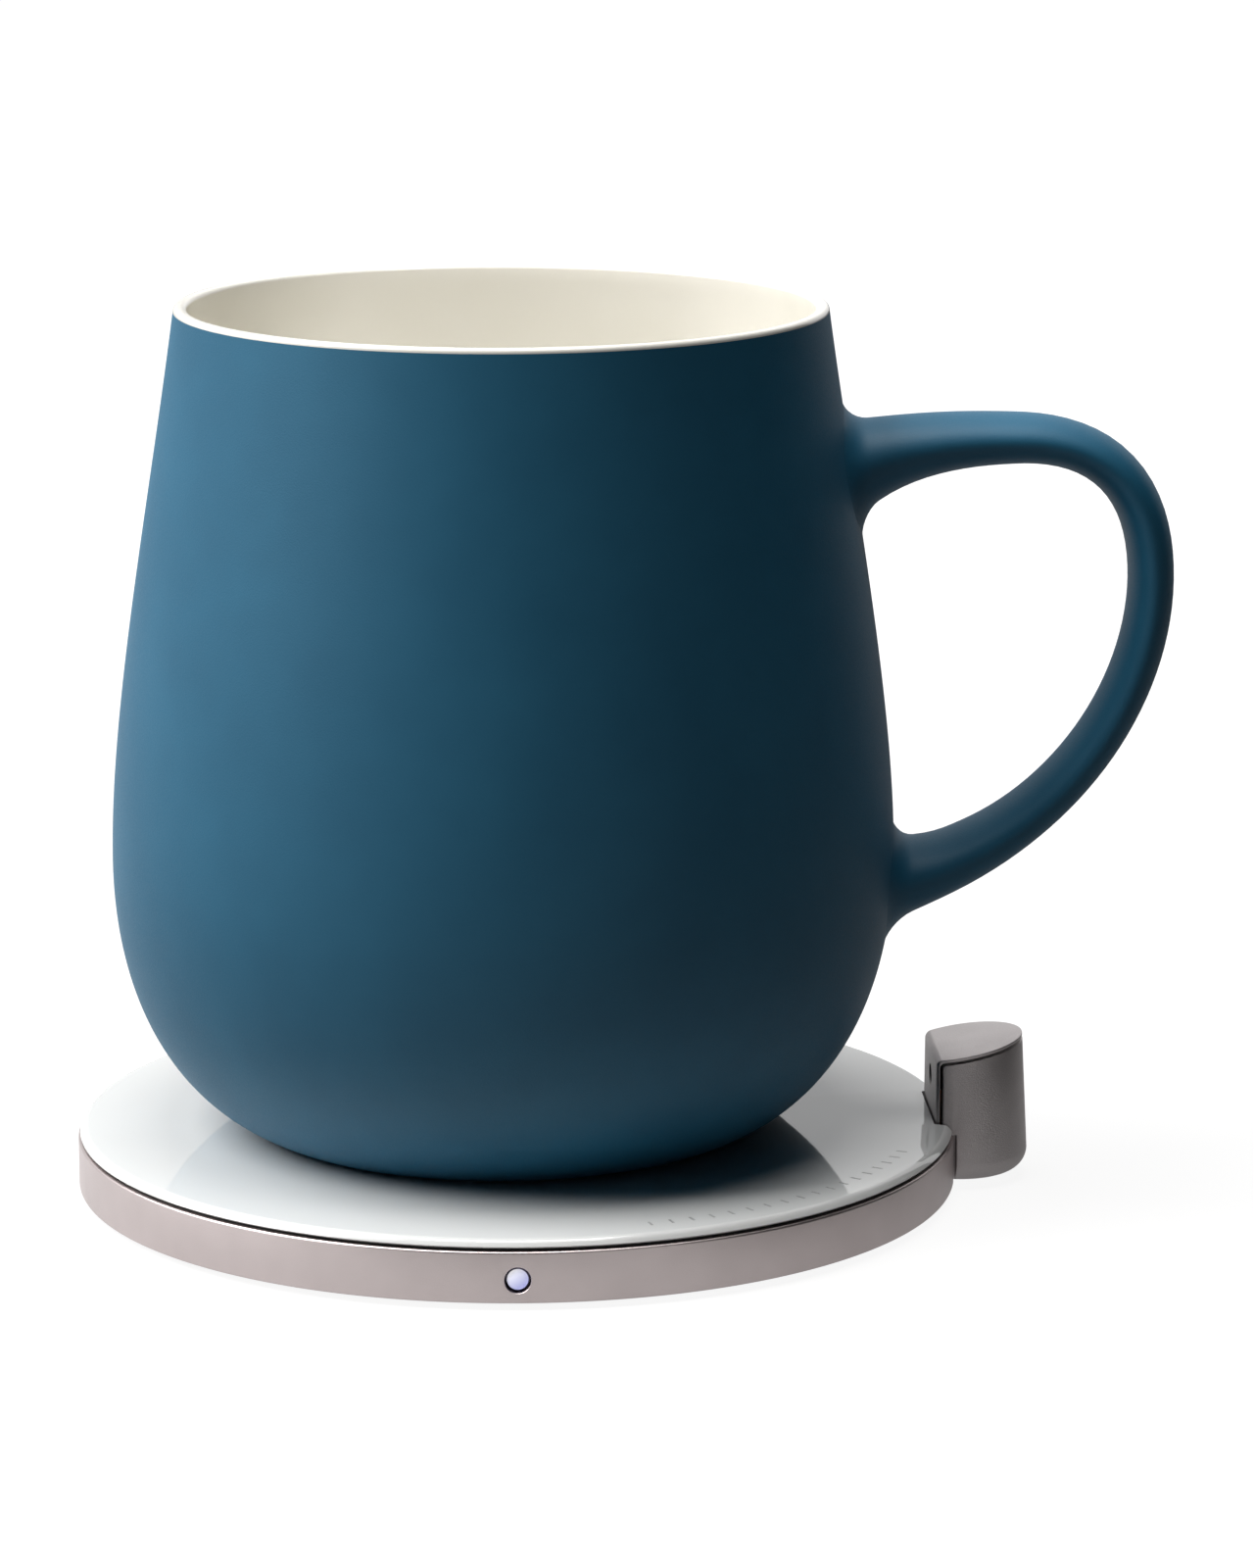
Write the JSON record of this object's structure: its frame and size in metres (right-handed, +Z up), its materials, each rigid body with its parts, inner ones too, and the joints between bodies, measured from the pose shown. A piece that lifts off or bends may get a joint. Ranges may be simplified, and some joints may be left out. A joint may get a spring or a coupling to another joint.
{
  "type": "self-heating mug with warming pad",
  "caption": "Rounded ceramic mug with a loop handle and a heated base, standing on a low round warming pad with a metal rim, a lit front button and a sensor post at its edge.",
  "frame": {"origin": "centre of the pad's flat foot, on the surface that it stands on", "axes": "+Z up, -Y to the pad's front with the button, +X to the side of the mug's handle and the sensor post"},
  "size_m": [0.1289, 0.104, 0.1049],
  "materials": {
    "blue_ceramic": "matte blue glaze over stoneware",
    "white_glaze": "glossy cream white",
    "white_plate": "polished white",
    "taupe_metal": "satin anodised rose taupe",
    "dark_taupe_metal": "satin anodised dark taupe",
    "black_rubber": "matte silicone",
    "grey_plastic": "moulded, fine grain",
    "circuit_board": "solder mask on glass epoxy",
    "chip_plastic": "moulded epoxy",
    "copper": "enamelled copper wire and foil",
    "ferrite": "sintered, matte",
    "insulation": "pressed fibre",
    "heat_pad": "soft gap filler",
    "heater_steel": "rolled",
    "bright_steel": "plated",
    "button_lens": "clear diffusing lens, lit white",
    "dark_window": "polished black"
  },
  "bodies": {
    "pad": {"top_plate": "white_plate", "plate_gasket": "black_rubber", "rim_ring": "taupe_metal", "bottom_cover": "grey_plastic", "foot_mat": "black_rubber", "coil_carrier": "grey_plastic", "transmitter_ferrite": "ferrite", "transmitter_coil": "copper", "heat_pad": "heat_pad", "temperature_probe": "chip_plastic", "main_board": "circuit_board", "board_chips": "chip_plastic", "inlet_shell": "bright_steel", "inlet_contacts": "chip_plastic", "button_switch": "chip_plastic", "status_led": "button_lens", "pad_screws": "bright_steel", "post_face": "dark_taupe_metal", "post_shell": "dark_taupe_metal", "sensor_window": "dark_window", "sensor_chip": "chip_plastic", "sensor_board": "circuit_board", "sensor_ribbon": "copper"},
    "mug": {"mug_body": "blue_ceramic", "mug_handle": "blue_ceramic", "inner_glaze": "white_glaze", "base_cover": "grey_plastic", "base_seal": "black_rubber", "receiver_coil": "copper", "receiver_ferrite": "ferrite", "receiver_board": "circuit_board", "receiver_chips": "chip_plastic", "insulation_pad": "insulation", "heating_plate": "heater_steel"},
    "button": {"button_cap": "button_lens", "button_plunger": "chip_plastic"}
  },
  "joints": [
    {"name": "mug_lift", "type": "slide", "parent": "pad", "child": "mug", "axis": [0, 0, 1], "range_m": [0, 0.15]},
    {"name": "button_press", "type": "slide", "parent": "pad", "child": "button", "axis": [0, 1, 0], "range_m": [0, 0.0005], "stiffness_N_per_m": 300, "springref_m": -0.0005}
  ]
}
